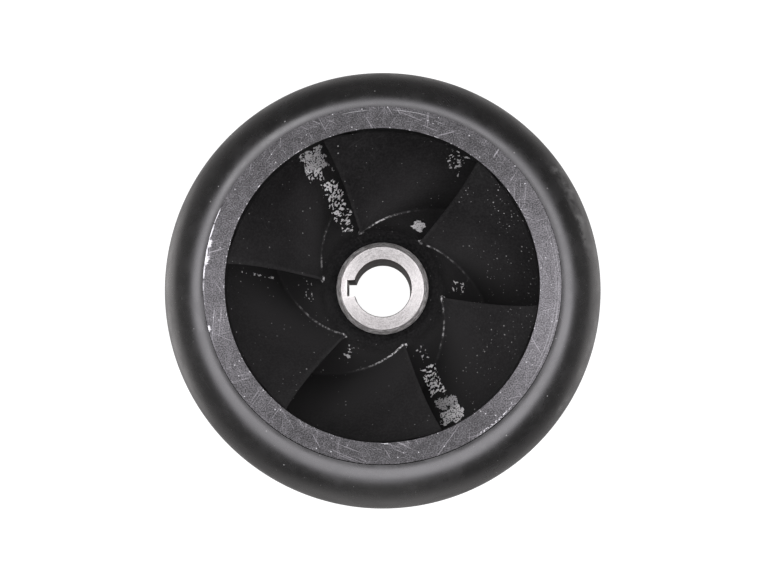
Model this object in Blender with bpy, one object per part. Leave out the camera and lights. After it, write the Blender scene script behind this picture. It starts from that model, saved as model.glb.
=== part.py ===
"""Closed pump impeller with six twisted vanes, a turned eye ring and a keyed steel sleeve.

The impeller lies on its back: its axis is +Z, the suction eye faces up, and the origin is on the
axis at the back face. Depths are measured down from the plane of the eye. All sizes are metres.
"""

import math

import bmesh
import bpy
import numpy as np
from mathutils import Vector

# Driving dimensions
HEIGHT = 0.0700            # eye plane to back face
GAP = 0.0003               # clearance between neighbouring pieces
SEGMENTS = 96              # facets round the turned pieces

EYE_RADIUS = 0.0735
RING_OUTER_RADIUS = 0.0836
RING_DEPTH = 0.0090        # how far the ring reaches down into the shroud
RING_STEP = 0.0005         # how far the ring stands proud of the shoulder
RING_CHAMFER = 0.0003

RIM_RADIUS = 0.1079        # widest point of the shoulder
RIM_DEPTH = 0.0470         # depth of that widest point
SHROUD_EXIT_RADIUS = 0.1050
SHROUD_EXIT_DEPTH = 0.0500
SHROUD_WALL_HANDLES = ((0.0760, 0.0210), (0.0940, 0.0360))   # radius and depth of each
LIP_HANDLES = ((RIM_RADIUS, 0.0486), (0.1064, 0.0506))       # the rounded lip between rim and wall

HUB_NOSE_RADIUS = 0.0295   # where the hub turns from its shoulder into its cone
HUB_NOSE_DEPTH = 0.0346
HUB_SHOULDER_DEPTH = 0.0316   # where the hub's rounded top meets the sleeve
HUB_SHOULDER_HANDLES = ((0.0255, 0.0318), (0.0279, 0.0325))
HUB_CONE_HANDLES = ((0.0390, 0.0500), (0.0510, 0.0680))
DISC_RADIUS = 0.1020
DISC_DEPTH = 0.0655        # depth of the disc's front face at its rim
DISC_EDGE_ROUND = 0.0010
RELIEF_INNER_RADIUS = 0.0350
RELIEF_OUTER_RADIUS = 0.0710
RELIEF_HEIGHT = 0.0025     # shallow turned relief in the back face
RELIEF_SLOPE = 0.0010

SLEEVE_RADIUS = 0.0225
SLEEVE_FACE_RADIUS = 0.0201
SLEEVE_TOP_DEPTH = 0.0290
SLEEVE_TOP_CHAMFER = 0.0024
BORE_RADIUS = 0.0140
EDGE_BREAK = 0.0005
KEYWAY_WIDTH = 0.0080
KEYWAY_DEPTH = 0.0033
KEYWAY_ANGLE = math.radians(180.0)

VANE_COUNT = 6
FIRST_VANE_ANGLE = math.radians(112.7)
EDGE_ROOT_LAG = math.radians(0.8)   # how far the leading edge's root lies behind that angle,
EDGE_TIP_LAG = math.radians(0.3)    # how far its tip does,
EDGE_BOW = math.radians(1.3)        # and how far its middle does beyond both
VANE_WRAP = math.radians(117.0)
EARLY_TURN = 1.3                    # turn at the leading edge, as a share of the average turn
VANE_THICKNESS = 0.0036
EDGE_THICKNESS = 0.0008
NOSE_SHARE = 0.12                   # share of the vane over which it reaches full thickness
TAIL_THICKNESS = 0.0024
TAIL_SHARE = 0.20                   # share of the vane over which it thins towards its end
VANE_GAP = 0.00045                  # clearance to the walls, of which their facets take a part
VANE_ROOT_EXIT_RADIUS = 0.0985
VANE_TIP_EXIT_RADIUS = 0.1030
TIP_DEPTH = 0.0020                  # depth of the leading edge where it meets the eye
VANE_STATIONS = 23
VANE_SPANS = 6

CURVE_POINTS = 12                   # corners on a long curve of a turned outline
SHORT_CURVE_POINTS = 6
SHOULDER_POINTS = 16
STREAMLINE_POINTS = 60
TURNED_SHARP_ANGLE = math.radians(30.0)
VANE_SHARP_ANGLE = math.radians(45.0)


def start_clean():
    """Remove whatever the file holds."""
    for thing in list(bpy.data.objects):
        bpy.data.objects.remove(thing, do_unlink=True)


def make_material(name, colour, roughness, metallic):
    """A plain Principled material."""
    material = bpy.data.materials.new(name)
    material.use_nodes = True
    shader = material.node_tree.nodes["Principled BSDF"]
    shader.inputs["Base Color"].default_value = (*colour, 1.0)
    shader.inputs["Roughness"].default_value = roughness
    shader.inputs["Metallic"].default_value = metallic
    return material


def bezier(start, first_handle, second_handle, end, count):
    """Points on a cubic curve through start and end."""
    corners = np.array([start, first_handle, second_handle, end])
    shares = np.linspace(0.0, 1.0, count)
    weights = np.stack([
        (1 - shares) ** 3,
        3 * shares * (1 - shares) ** 2,
        3 * shares ** 2 * (1 - shares),
        shares ** 3,
    ], axis=1)
    return weights @ corners


def resample(points, count):
    """The same curve with count points spread evenly along its length."""
    steps = np.linalg.norm(np.diff(points, axis=0), axis=1)
    travelled = np.concatenate([[0.0], np.cumsum(steps)])
    wanted = np.linspace(0.0, travelled[-1], count)
    return np.stack([np.interp(wanted, travelled, points[:, axis]) for axis in (0, 1)], axis=1)


def move_off(points, distance):
    """Shift a curve of radius and depth sideways, to the left of its own direction."""
    slopes = np.gradient(points, axis=0)
    slopes /= np.linalg.norm(slopes, axis=1, keepdims=True)
    normals = np.stack([slopes[:, 1], -slopes[:, 0]], axis=1)
    return points + distance * normals


def shoulder_curve():
    """The outside of the front shroud: a quarter of an ellipse from the ring to the rim."""
    start_radius = RING_OUTER_RADIUS + GAP
    turns = np.linspace(0.0, math.pi / 2, SHOULDER_POINTS)
    radii = start_radius + (RIM_RADIUS - start_radius) * np.sin(turns)
    depths = RING_STEP + (RIM_DEPTH - RING_STEP) * (1 - np.cos(turns))
    return np.stack([radii, depths], axis=1)


def shroud_wall_curve():
    """The inside of the front shroud, from the ring's seat to the lip."""
    start = (EYE_RADIUS, RING_DEPTH + GAP)
    end = (SHROUD_EXIT_RADIUS, SHROUD_EXIT_DEPTH)
    return bezier(start, *SHROUD_WALL_HANDLES, end, CURVE_POINTS)


def hub_cone_curve():
    """The water side of the hub and the disc, from the hub's nose to the disc's rim."""
    start = (HUB_NOSE_RADIUS, HUB_NOSE_DEPTH)
    end = (DISC_RADIUS - DISC_EDGE_ROUND, DISC_DEPTH)
    return bezier(start, *HUB_CONE_HANDLES, end, CURVE_POINTS)


def hub_shoulder_curve():
    """The rounded top of the hub, between the sleeve and the hub's nose."""
    start = (SLEEVE_RADIUS + GAP, HUB_SHOULDER_DEPTH)
    end = (HUB_NOSE_RADIUS, HUB_NOSE_DEPTH)
    return bezier(start, *HUB_SHOULDER_HANDLES, end, SHORT_CURVE_POINTS)


def link(name, mesh, material):
    """Put a mesh in the scene under its piece's name."""
    piece = bpy.data.objects.new(name, mesh)
    piece.data.materials.append(material)
    bpy.context.scene.collection.objects.link(piece)
    return piece


def finish_mesh(name, shape, sharp_angle=TURNED_SHARP_ANGLE):
    """Turn a bmesh into a shaded mesh with its faces pointing out."""
    bmesh.ops.recalc_face_normals(shape, faces=shape.faces)
    mesh = bpy.data.meshes.new(name)
    shape.to_mesh(mesh)
    shape.free()
    mesh.shade_smooth()
    mesh.set_sharp_from_angle(angle=sharp_angle)
    return mesh


def turned(name, profile, material):
    """Turn a closed outline of radius and depth round the axis."""
    shape = bmesh.new()
    rings = []
    for segment in range(SEGMENTS):
        angle = 2 * math.pi * segment / SEGMENTS
        rings.append([
            shape.verts.new((radius * math.cos(angle), radius * math.sin(angle), HEIGHT - depth))
            for radius, depth in profile
        ])
    corners = len(profile)
    for segment in range(SEGMENTS):
        here = rings[segment]
        there = rings[(segment + 1) % SEGMENTS]
        for corner in range(corners):
            after = (corner + 1) % corners
            shape.faces.new((here[corner], there[corner], there[after], here[after]))
    return link(name, finish_mesh(name, shape), material)


def eye_ring(material):
    """The flat turned ring round the suction eye."""
    profile = [
        (EYE_RADIUS + RING_CHAMFER, 0.0),
        (RING_OUTER_RADIUS - RING_CHAMFER, 0.0),
        (RING_OUTER_RADIUS, RING_CHAMFER),
        (RING_OUTER_RADIUS, RING_DEPTH),
        (EYE_RADIUS, RING_DEPTH),
        (EYE_RADIUS, RING_CHAMFER),
    ]
    return turned("eye_ring", profile, material)


def front_shroud(material):
    """The shroud with the rounded shoulder, and the seat that holds the eye ring."""
    rim = (RIM_RADIUS, RIM_DEPTH)
    mouth = (SHROUD_EXIT_RADIUS, SHROUD_EXIT_DEPTH)
    lip = bezier(rim, *LIP_HANDLES, mouth, SHORT_CURVE_POINTS)
    seat_depth = RING_DEPTH + GAP
    seat_radius = RING_OUTER_RADIUS + GAP
    profile = [
        *shoulder_curve(),
        *lip[1:],
        *shroud_wall_curve()[::-1][1:],
        (seat_radius, seat_depth),
    ]
    return turned("front_shroud", profile, material)


def back_shroud(material):
    """The hub cone and the disc that the vanes stand on."""
    back = HEIGHT
    sleeve_seat = SLEEVE_RADIUS + GAP
    profile = [
        *hub_shoulder_curve(),
        *hub_cone_curve()[1:],
        (DISC_RADIUS, DISC_DEPTH + DISC_EDGE_ROUND),
        (DISC_RADIUS, back - DISC_EDGE_ROUND),
        (DISC_RADIUS - DISC_EDGE_ROUND, back),
        (RELIEF_OUTER_RADIUS, back),
        (RELIEF_OUTER_RADIUS - RELIEF_SLOPE, back - RELIEF_HEIGHT),
        (RELIEF_INNER_RADIUS + RELIEF_SLOPE, back - RELIEF_HEIGHT),
        (RELIEF_INNER_RADIUS, back),
        (sleeve_seat, back),
    ]
    return turned("back_shroud", profile, material)


def steel_sleeve(material):
    """The shaft sleeve with its chamfered collar and one keyway."""
    top = SLEEVE_TOP_DEPTH
    profile = [
        (BORE_RADIUS + EDGE_BREAK, top),
        (SLEEVE_FACE_RADIUS, top),
        (SLEEVE_RADIUS, top + SLEEVE_TOP_CHAMFER),
        (SLEEVE_RADIUS, HEIGHT - EDGE_BREAK),
        (SLEEVE_RADIUS - EDGE_BREAK, HEIGHT),
        (BORE_RADIUS + EDGE_BREAK, HEIGHT),
        (BORE_RADIUS, HEIGHT - EDGE_BREAK),
        (BORE_RADIUS, top + EDGE_BREAK),
    ]
    sleeve = turned("steel_sleeve", profile, material)
    cutter = keyway_cutter(material)
    cut = sleeve.modifiers.new("keyway", "BOOLEAN")
    cut.operation = "DIFFERENCE"
    cut.solver = "EXACT"
    cut.object = cutter
    return sleeve


def keyway_cutter(material):
    """A long square bar that cuts the keyway from end to end of the bore."""
    reach = BORE_RADIUS + KEYWAY_DEPTH
    length = 1.2 * HEIGHT
    shape = bmesh.new()
    bmesh.ops.create_cube(shape, size=1.0)
    bmesh.ops.scale(shape, vec=Vector((reach, KEYWAY_WIDTH, length)), verts=shape.verts)
    bmesh.ops.translate(shape, vec=Vector((reach / 2, 0.0, HEIGHT / 2)), verts=shape.verts)
    cutter = link("keyway_cutter", finish_mesh("keyway_cutter", shape), material)
    cutter.rotation_euler.z = KEYWAY_ANGLE
    cutter.hide_render = True
    cutter.display_type = "WIRE"
    return cutter


def cut_at_radius(points, radius):
    """The part of a curve that lies inside a radius, ending exactly on it."""
    inside = [point for point in points if point[0] < radius]
    end_depth = np.interp(radius, points[:, 0], points[:, 1])
    return np.array([*inside, (radius, end_depth)])


def root_streamline():
    """Where a vane meets the hub, from its leading to its trailing edge."""
    wall = move_off(resample(hub_cone_curve(), STREAMLINE_POINTS), VANE_GAP)
    return resample(cut_at_radius(wall, VANE_ROOT_EXIT_RADIUS), VANE_STATIONS)


def tip_streamline():
    """Where a vane meets the eye ring and the front shroud."""
    straight = np.array([(EYE_RADIUS, TIP_DEPTH), (EYE_RADIUS, RING_DEPTH)])
    wall = np.concatenate([straight, shroud_wall_curve()])
    wall = move_off(resample(wall, STREAMLINE_POINTS), -VANE_GAP)
    return resample(cut_at_radius(wall, VANE_TIP_EXIT_RADIUS), VANE_STATIONS)


def suction_side():
    """Radius, depth and angle of the side of a vane that faces the eye, station by station."""
    root = root_streamline()
    tip = tip_streamline()
    along = np.linspace(0.0, 1.0, VANE_STATIONS)[:, None]
    across = np.linspace(0.0, 1.0, VANE_SPANS)[None, :]
    radius = root[:, :1] * (1 - across) + tip[:, :1] * across
    depth = root[:, 1:] * (1 - across) + tip[:, 1:] * across
    swept = VANE_WRAP * (EARLY_TURN * along + (1 - EARLY_TURN) * along ** 2)
    lag = EDGE_ROOT_LAG * (1 - across) + EDGE_TIP_LAG * across + EDGE_BOW * 4 * across * (1 - across)
    angle = -lag - swept
    nose = thickness_angle(radius, depth, angle)[:1]
    return radius, depth, angle - nose


def to_places(radius, depth, angle):
    """Turn radius, depth and angle into places in space."""
    return np.stack([radius * np.cos(angle), radius * np.sin(angle), HEIGHT - depth], axis=-1)


def thickness_angle(radius, depth, angle):
    """The angle that the vane's thickness takes round the axis."""
    places = to_places(radius, depth, angle)
    along = np.gradient(places, axis=0)
    across = np.gradient(places, axis=1)
    normal = np.cross(along, across)
    normal /= np.linalg.norm(normal, axis=-1, keepdims=True)
    tangent = np.stack([-np.sin(angle), np.cos(angle), np.zeros_like(angle)], axis=-1)
    facing = np.abs((normal * tangent).sum(axis=-1))
    share = np.linspace(0.0, 1.0, VANE_STATIONS)[:, None]
    nose = np.sqrt(np.clip(share / NOSE_SHARE, 0.0, 1.0))
    tail = np.clip((share - 1 + TAIL_SHARE) / TAIL_SHARE, 0.0, 1.0) ** 2
    thickness = EDGE_THICKNESS + (VANE_THICKNESS - EDGE_THICKNESS) * nose
    thickness -= (VANE_THICKNESS - TAIL_THICKNESS) * tail
    return thickness / facing / radius


def vane_mesh():
    """One closed vane whose leading edge starts at angle zero."""
    radius, depth, angle = suction_side()
    pressure_angle = angle + thickness_angle(radius, depth, angle)
    shape = bmesh.new()
    sides = []
    for side_angle in (angle, pressure_angle):
        places = to_places(radius, depth, side_angle)
        sides.append([[shape.verts.new(place) for place in row] for row in places])
    for side in sides:
        for row, after in zip(side, side[1:]):
            for span in range(VANE_SPANS - 1):
                shape.faces.new((row[span], row[span + 1], after[span + 1], after[span]))
    suction, pressure = sides
    for station in range(VANE_STATIONS - 1):
        for span in (0, VANE_SPANS - 1):
            shape.faces.new((
                suction[station][span], suction[station + 1][span],
                pressure[station + 1][span], pressure[station][span],
            ))
    for station in (0, VANE_STATIONS - 1):
        for span in range(VANE_SPANS - 1):
            shape.faces.new((
                suction[station][span], suction[station][span + 1],
                pressure[station][span + 1], pressure[station][span],
            ))
    return finish_mesh("vane", shape, VANE_SHARP_ANGLE)


def vanes(material):
    """Six equal vanes round the axis."""
    mesh = vane_mesh()
    mesh.materials.append(material)
    for number in range(VANE_COUNT):
        vane = bpy.data.objects.new(f"vane_{number + 1}", mesh)
        vane.rotation_euler.z = FIRST_VANE_ANGLE - 2 * math.pi * number / VANE_COUNT
        bpy.context.scene.collection.objects.link(vane)


def build():
    """Make every piece of the impeller."""
    start_clean()
    moulded = make_material("moulded_black", (0.020, 0.020, 0.021), 0.45, 0.0)
    turned_black = make_material("turned_ring_grey", (0.16, 0.16, 0.165), 0.50, 0.0)
    steel = make_material("turned_steel", (0.80, 0.78, 0.76), 0.25, 1.0)
    eye_ring(turned_black)
    front_shroud(moulded)
    vanes(moulded)
    back_shroud(moulded)
    steel_sleeve(steel)


build()
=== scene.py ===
# %% [markdown]
# # A closed pump impeller
# The wheel lies on its back and we look into its suction eye. Water enters there, six twisted
# vanes carry it out between two black moulded shrouds, and a keyed steel sleeve holds the shaft.
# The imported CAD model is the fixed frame. Every piece below is made finer than its CAD solid,
# rides on the same body and stands in the same place.

# %% Open the frame
import math
import random
from functools import reduce

import bmesh
import bpy
import numpy as np
from mathutils import Matrix, Vector


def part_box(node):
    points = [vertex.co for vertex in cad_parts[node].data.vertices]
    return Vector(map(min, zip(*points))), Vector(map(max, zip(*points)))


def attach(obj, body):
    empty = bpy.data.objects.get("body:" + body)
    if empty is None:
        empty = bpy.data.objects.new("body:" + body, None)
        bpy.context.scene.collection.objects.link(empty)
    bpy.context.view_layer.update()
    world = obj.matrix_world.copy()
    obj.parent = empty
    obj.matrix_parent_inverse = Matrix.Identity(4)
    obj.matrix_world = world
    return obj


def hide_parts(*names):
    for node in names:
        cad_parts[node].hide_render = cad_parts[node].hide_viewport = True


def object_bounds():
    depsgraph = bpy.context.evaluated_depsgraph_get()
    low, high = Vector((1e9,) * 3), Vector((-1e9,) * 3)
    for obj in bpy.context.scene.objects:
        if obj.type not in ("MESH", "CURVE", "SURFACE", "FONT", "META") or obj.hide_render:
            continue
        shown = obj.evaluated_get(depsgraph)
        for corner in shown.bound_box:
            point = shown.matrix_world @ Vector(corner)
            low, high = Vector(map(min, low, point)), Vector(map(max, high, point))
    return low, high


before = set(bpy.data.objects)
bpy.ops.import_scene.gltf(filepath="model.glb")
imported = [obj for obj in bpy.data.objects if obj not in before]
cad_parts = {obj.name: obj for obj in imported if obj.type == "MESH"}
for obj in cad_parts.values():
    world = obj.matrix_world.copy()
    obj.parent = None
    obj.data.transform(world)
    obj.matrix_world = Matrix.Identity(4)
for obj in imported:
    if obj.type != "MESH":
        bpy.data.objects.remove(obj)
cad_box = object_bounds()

print("pieces in the frame:", ", ".join(sorted(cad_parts)))

# %% [markdown]
# ## Sizes
# The outer sizes are read from the frame, so a new pack carries its changes over. The curves
# inside the wheel aren't boxes, so their few driving values are repeated here, in metres. A depth
# is measured down from the plane of the eye, as a turner measures from the face.

# %% Sizes
MM = 0.001
HEIGHT = cad_box[1].z
RIM_RADIUS = cad_box[1].x
RING_OUTER_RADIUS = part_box("eye_ring")[1].x
RING_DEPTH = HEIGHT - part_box("eye_ring")[0].z
SLEEVE_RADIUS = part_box("steel_sleeve")[1].x
SLEEVE_TOP_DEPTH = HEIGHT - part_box("steel_sleeve")[1].z
DISC_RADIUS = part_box("back_shroud")[1].x

EYE_RADIUS = 73.5 * MM
STEP_DEPTH = 0.5 * MM
SEAM = 0.20 * MM
RIM_DEPTH = 47.0 * MM
MOUTH = (105.0 * MM, 50.0 * MM)
HUB_NOSE = (29.5 * MM, 34.6 * MM)
DISC_DEPTH = 65.5 * MM
SLEEVE_FACE_RADIUS = 20.1 * MM
SLEEVE_CHAMFER_DEPTH = 2.4 * MM
BORE_RADIUS = 14.0 * MM
KEYWAY_WIDTH = 8.0 * MM
KEYWAY_DEPTH = 3.3 * MM
VANE_COUNT = 6
FIRST_EDGE_ANGLE = 112.7

print(f"rim radius {RIM_RADIUS / MM:.1f} mm, height {HEIGHT / MM:.1f} mm")

# %% [markdown]
# ## Camera
# The photograph looks almost straight down the axis, from a little below it in the picture. A
# long lens and a near camera both fit a round wheel, but only one distance also fits the bore's
# far edge, which is smaller and lies lower than its near edge. The camera is turned until its
# back points along that line, with the picture's top towards +Y.

# %% Camera
CAMERA_AIM = Vector((0.84 * MM, -1.73 * MM, HEIGHT))
CAMERA_DISTANCE = 0.640
CAMERA_TILT = math.radians(3.527)
CAMERA_SIDE = math.radians(0.237)
LENS = 64.40
SENSOR_WIDTH = 36.0

camera_data = bpy.data.cameras.new("camera")
camera_data.lens = LENS
camera_data.sensor_width = SENSOR_WIDTH
camera = bpy.data.objects.new("camera", camera_data)
bpy.context.scene.collection.objects.link(camera)
bpy.context.scene.camera = camera

away = Vector((
    math.sin(CAMERA_SIDE),
    -math.sin(CAMERA_TILT) * math.cos(CAMERA_SIDE),
    math.cos(CAMERA_TILT) * math.cos(CAMERA_SIDE),
))
camera.location = CAMERA_AIM + CAMERA_DISTANCE * away
right = Vector((0.0, 1.0, 0.0)).cross(away).normalized()
camera.rotation_euler = Matrix((right, away.cross(right), away)).transposed().to_euler()
print("camera at", [round(value, 3) for value in camera.location])

# %% [markdown]
# ## Shader sums as Python
# A finish is easier to read as sums than as a web of nodes. An Amount wraps one socket, and each
# sign adds the Math node that it stands for, also with the number first, as in 1 - mask. Every
# other node comes from Look.add, which takes the node's type, then its settings, then what its
# sockets hold.

# %% Amounts
class Amount:
    """A number that varies over a surface."""

    def __init__(self, look, socket):
        self.look = look
        self.socket = socket

    def __add__(self, other):
        return self.look.maths("ADD", self, other)

    def __mul__(self, other):
        return self.look.maths("MULTIPLY", self, other)

    def __sub__(self, other):
        return self.look.maths("SUBTRACT", self, other)

    def __rsub__(self, other):
        return self.look.maths("SUBTRACT", other, self)

    def __truediv__(self, other):
        return self.look.maths("DIVIDE", self, other)

    def __pow__(self, other):
        return self.look.maths("POWER", self, other)

    def __abs__(self):
        return self.look.maths("ABSOLUTE", self)

    __radd__ = __add__
    __rmul__ = __mul__

    def or_more(self, other):
        """The larger of the two."""
        return self.look.maths("MAXIMUM", self, other)

    def rises(self, low, high):
        """0 up to low, 1 from high on, and a smooth climb between them."""
        node = self.look.add(
            "MapRange",
            {"interpolation_type": "SMOOTHSTEP"},
            {"Value": self, "From Min": low, "From Max": high},
        )
        return self.look.amount(node, "Result")

    def falls(self, low, high):
        """The reverse: 1 up to low and 0 from high on."""
        return 1 - self.rises(low, high)


# %% Looks
class Look:
    """One node tree, a material's or the world's, and what is added to it."""

    def __init__(self, name, owner=None):
        self.owner = owner or bpy.data.materials.new(name)
        self.owner.use_nodes = True
        self.tree = self.owner.node_tree

    def add(self, kind, settings=None, sockets=None):
        """Add a node by its type, settings first and then the values or links of its sockets."""
        node = self.tree.nodes.new("ShaderNode" + kind)
        for name, value in (settings or {}).items():
            if name == "stops":
                self.set_stops(node.color_ramp, value)
            else:
                setattr(node, name, value)
        for name, value in (sockets or {}).items():
            self.fill(node.inputs[name], value)
        return node

    def set_stops(self, ramp, stops):
        """Give a colour ramp its (position, colour) stops."""
        while len(ramp.elements) < len(stops):
            ramp.elements.new(1.0)
        for element, (position, colour) in zip(ramp.elements, stops):
            element.position = position
            element.color = (*colour, 1.0)

    def fill(self, socket, value):
        """Link a socket, or set it."""
        if isinstance(value, Amount):
            value = value.socket
        if isinstance(value, bpy.types.NodeSocket):
            self.tree.links.new(value, socket)
        else:
            socket.default_value = value

    def amount(self, node, output=0):
        """One output of a node, ready for sums."""
        return Amount(self, node.outputs[output])

    def maths(self, operation, *values):
        """A Math node on its one or two values."""
        node = self.add("Math", {"operation": operation}, dict(enumerate(values)))
        return self.amount(node)


# %% [markdown]
# ## Places on the wheel
# The wheel is round, so most of its marks are easiest to place by radius and by angle. A Surface
# look reads the object's own coordinates, which are the frame's, and works out the radius. A
# mark that follows a circle is a band of radius, cut off at some distance from its middle.

# %% Surface looks
# A Mix node has one socket A and one B for each kind of value, so those for colours go by number.
MIX_FIRST = 6
MIX_SECOND = 7
MIX_RESULT = 2


class Surface(Look):
    """A material's look, with the place on the wheel at hand."""

    def __init__(self, name):
        super().__init__(name)
        self.shader = self.tree.nodes["Principled BSDF"]
        self.place = self.add("TexCoord").outputs["Object"]
        parts = self.add("SeparateXYZ", None, {"Vector": self.place})
        self.x, self.y, self.z = (self.amount(parts, axis) for axis in "XYZ")
        self.radius = (self.x * self.x + self.y * self.y) ** 0.5

    def vector(self, x, y, z):
        """A place from its three parts."""
        return self.add("CombineXYZ", None, {"X": x, "Y": y, "Z": z}).outputs["Vector"]

    def noise(self, per_metre, detail=2.0, place=None, roughness=0.5):
        """Soft noise between about 0.3 and 0.7."""
        node = self.add("TexNoise", None, {
            "Vector": place or self.place,
            "Scale": per_metre,
            "Detail": detail,
            "Roughness": roughness,
        })
        return self.amount(node, 0)

    def mix(self, share, first, second):
        """Blend two colours."""
        node = self.add(
            "Mix",
            {"data_type": "RGBA"},
            {"Factor": share, MIX_FIRST: self.colour(first), MIX_SECOND: self.colour(second)},
        )
        return node.outputs[MIX_RESULT]

    def colour(self, value):
        """A colour with its fourth part, and anything else as it is."""
        return (*value, 1.0) if isinstance(value, tuple) else value

    def attribute(self, name):
        """A number that the mesh carries at each of its points."""
        return self.amount(self.add("Attribute", {"attribute_name": name}), "Fac")

    def bump(self, height, depth, strength=1.0, under=None):
        """Raise the surface by height, where 1 is depth metres."""
        sockets = {"Height": height, "Distance": depth, "Strength": strength}
        if under:
            sockets["Normal"] = under
        return self.add("Bump", None, sockets).outputs["Normal"]

    def finish(self, **values):
        """Set the shader's sockets, named with _ for a space, and hand over the material."""
        for name, value in values.items():
            self.fill(self.shader.inputs[name.replace("_", " ")], self.colour(value))
        print(f"{self.owner.name}: {len(self.tree.nodes)} nodes")
        return self.owner


# %% Marks
ROUND_THE_WHEEL = 6.0
SCRATCH_STRETCH = 0.025


def turned_lines(look, per_metre, detail=3.0):
    """Fine rings like those that a lathe tool leaves, without a seam round the wheel."""
    east = look.x / look.radius * ROUND_THE_WHEEL
    north = look.y / look.radius * ROUND_THE_WHEEL
    return look.noise(1.0, detail, look.vector(east, north, look.radius * per_metre), 0.6)


def scratches(look, angle, per_metre, low, high, seed):
    """Long thin scratches in one direction, from stretched noise."""
    along = look.x * math.cos(angle) + look.y * math.sin(angle)
    across = look.y * math.cos(angle) - look.x * math.sin(angle)
    stretched = along * per_metre * SCRATCH_STRETCH
    place = look.vector(stretched, across * per_metre, look.z * per_metre * 0.2 + seed)
    return look.noise(1.0, 1.0, place).rises(low, high)


def specks(look, per_metre, size, share):
    """Round specks on a share of the cells of a foam, size as a share of a cell."""
    cells = look.add("TexVoronoi", None, {"Vector": look.place, "Scale": per_metre})
    chance = look.add("SeparateColor", None, {"Color": cells.outputs["Color"]})
    near = look.amount(cells, "Distance").falls(size * 0.6, size)
    return near * (share - look.amount(chance, "Red")).rises(0.0, 0.02)


def arc_mark(look, angle, length, radius, width):
    """A streak along a circle: its middle's angle in degrees, then metres."""
    turn = math.radians(angle)
    along = look.y * math.cos(turn) - look.x * math.sin(turn)
    same_side = look.x * math.cos(turn) + look.y * math.sin(turn)
    inside = abs(look.radius - radius).falls(width * 0.35, width * 0.65)
    return inside * abs(along).falls(length * 0.3, length * 0.5) * same_side.rises(0.0, 10 * MM)


def patch(look, place, half_length, half_width, angle, ragged):
    """A ragged patch seen from above: its middle, half its sizes and its slant in degrees."""
    turn = math.radians(angle)
    right = look.x - place[0]
    up = look.y - place[1]
    along = abs(right * math.cos(turn) + up * math.sin(turn)) - half_length
    across = abs(up * math.cos(turn) - right * math.sin(turn)) - half_width
    return (along.or_more(across) + ragged).falls(-0.1 * MM, 0.1 * MM)


# %% [markdown]
# ## The room
# A satin black wheel shows its shape only by what it mirrors. The photograph's shoulder is light
# where it leans 5 to 20 degrees and dark from 30 on, so the soft light stands in a wide ring above
# the wheel, a little towards the picture's bottom, and the horizon is dim. Straight overhead, round
# the camera, is a dim hole. Low on both sides, below, and towards the picture's bottom and top are
# pale glows, which light the rim. A glow may also be negative: the right side and the lower left
# of the photograph's room are dimmer than the rest. The world shader draws all of it from nothing
# but the direction in which a ray looks.

# %% World
LIGHT_STRENGTH = 4.0
LIGHT_LEAN = math.radians(12.5)
LIGHT_STOPS = (
    (180, (0.045, 0.044, 0.044)),
    (142, (0.030, 0.029, 0.029)),
    (104, (0.030, 0.029, 0.029)),
    (90, (0.034, 0.033, 0.033)),
    (78, (0.043, 0.042, 0.042)),
    (66, (0.095, 0.092, 0.094)),
    (57, (0.32, 0.31, 0.33)),
    (47, (0.80, 0.78, 0.82)),
    (36, (1.05, 1.02, 1.075)),
    (0, (1.05, 1.02, 1.075)),
)
HOLE_DEPTH = 0.80
HOLE_EDGE = (9.0, 26.0)
SIDE_GLOW = 4.4
OTHER_GLOWS = (
    # towards, cosine where it starts, cosine where it is full, strength
    ((0.0, 0.0, -1.0), 0.33, 0.92, 4.5),
    ((0.0, -1.0, 0.0), 0.90, 1.00, 6.0),
    ((0.0, 1.0, 0.0), 0.88, 1.00, 1.5),
    ((-0.68, 0.0, -0.73), 0.90, 1.00, 20.0),
    ((0.68, 0.0, -0.73), 0.90, 1.00, 12.0),
    ((0.0, -0.80, -0.60), 0.86, 1.00, 7.0),
    ((-0.96, 0.0, -0.28), 0.80, 1.00, 1.0),
    ((0.99, 0.0, -0.14), 0.85, 1.00, 1.6),
    ((0.87, 0.0, 0.49), 0.92, 1.00, 2.8),
    ((0.985, 0.0, -0.17), 0.50, 0.75, -2.0),
    ((-0.55, -0.55, 0.63), 0.88, 1.00, -0.9),
)

world = bpy.data.worlds.new("studio")
bpy.context.scene.world = world
room = Look("studio", world)
direction = room.add("TexCoord").outputs["Generated"]


def facing(way):
    """How nearly the light's direction agrees with a way, as the cosine of the angle."""
    node = room.add("VectorMath", {"operation": "DOT_PRODUCT"}, {0: direction, 1: way})
    return room.amount(node, "Value")


leaning = facing((0.0, -math.sin(LIGHT_LEAN), math.cos(LIGHT_LEAN)))
stops = [((1 + math.cos(math.radians(angle))) / 2, colour) for angle, colour in LIGHT_STOPS]
ramp = room.add("ValToRGB", {"stops": stops}, {"Fac": leaning * 0.5 + 0.5})
inner, outer = (math.cos(math.radians(angle)) for angle in HOLE_EDGE)
upwards = facing((0.0, 0.0, 1.0))
sideways = facing((1.0, 0.0, 0.0))
strength = (1 - upwards.rises(outer, inner) * HOLE_DEPTH) * LIGHT_STRENGTH
strength = strength + sideways * sideways * (1 - upwards) * SIDE_GLOW
for way, start, full, glow in OTHER_GLOWS:
    strength = strength + facing(way).rises(start, full) * glow
background = room.tree.nodes["Background"]
room.fill(background.inputs["Color"], ramp.outputs["Color"])
room.fill(background.inputs["Strength"], strength)
bpy.context.scene.view_settings.view_transform = "Standard"
print("light rings at", [angle for angle, colour in LIGHT_STOPS], "degrees from above")

# %% [markdown]
# ## Floor
# The wheel lies on a wide pale table that shines evenly, so the ground is white up to the edges of
# the picture. Reflections don't see it, because the glows of the room already stand for it.

# %% Floor
FLOOR_SIZE = 24.0

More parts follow.
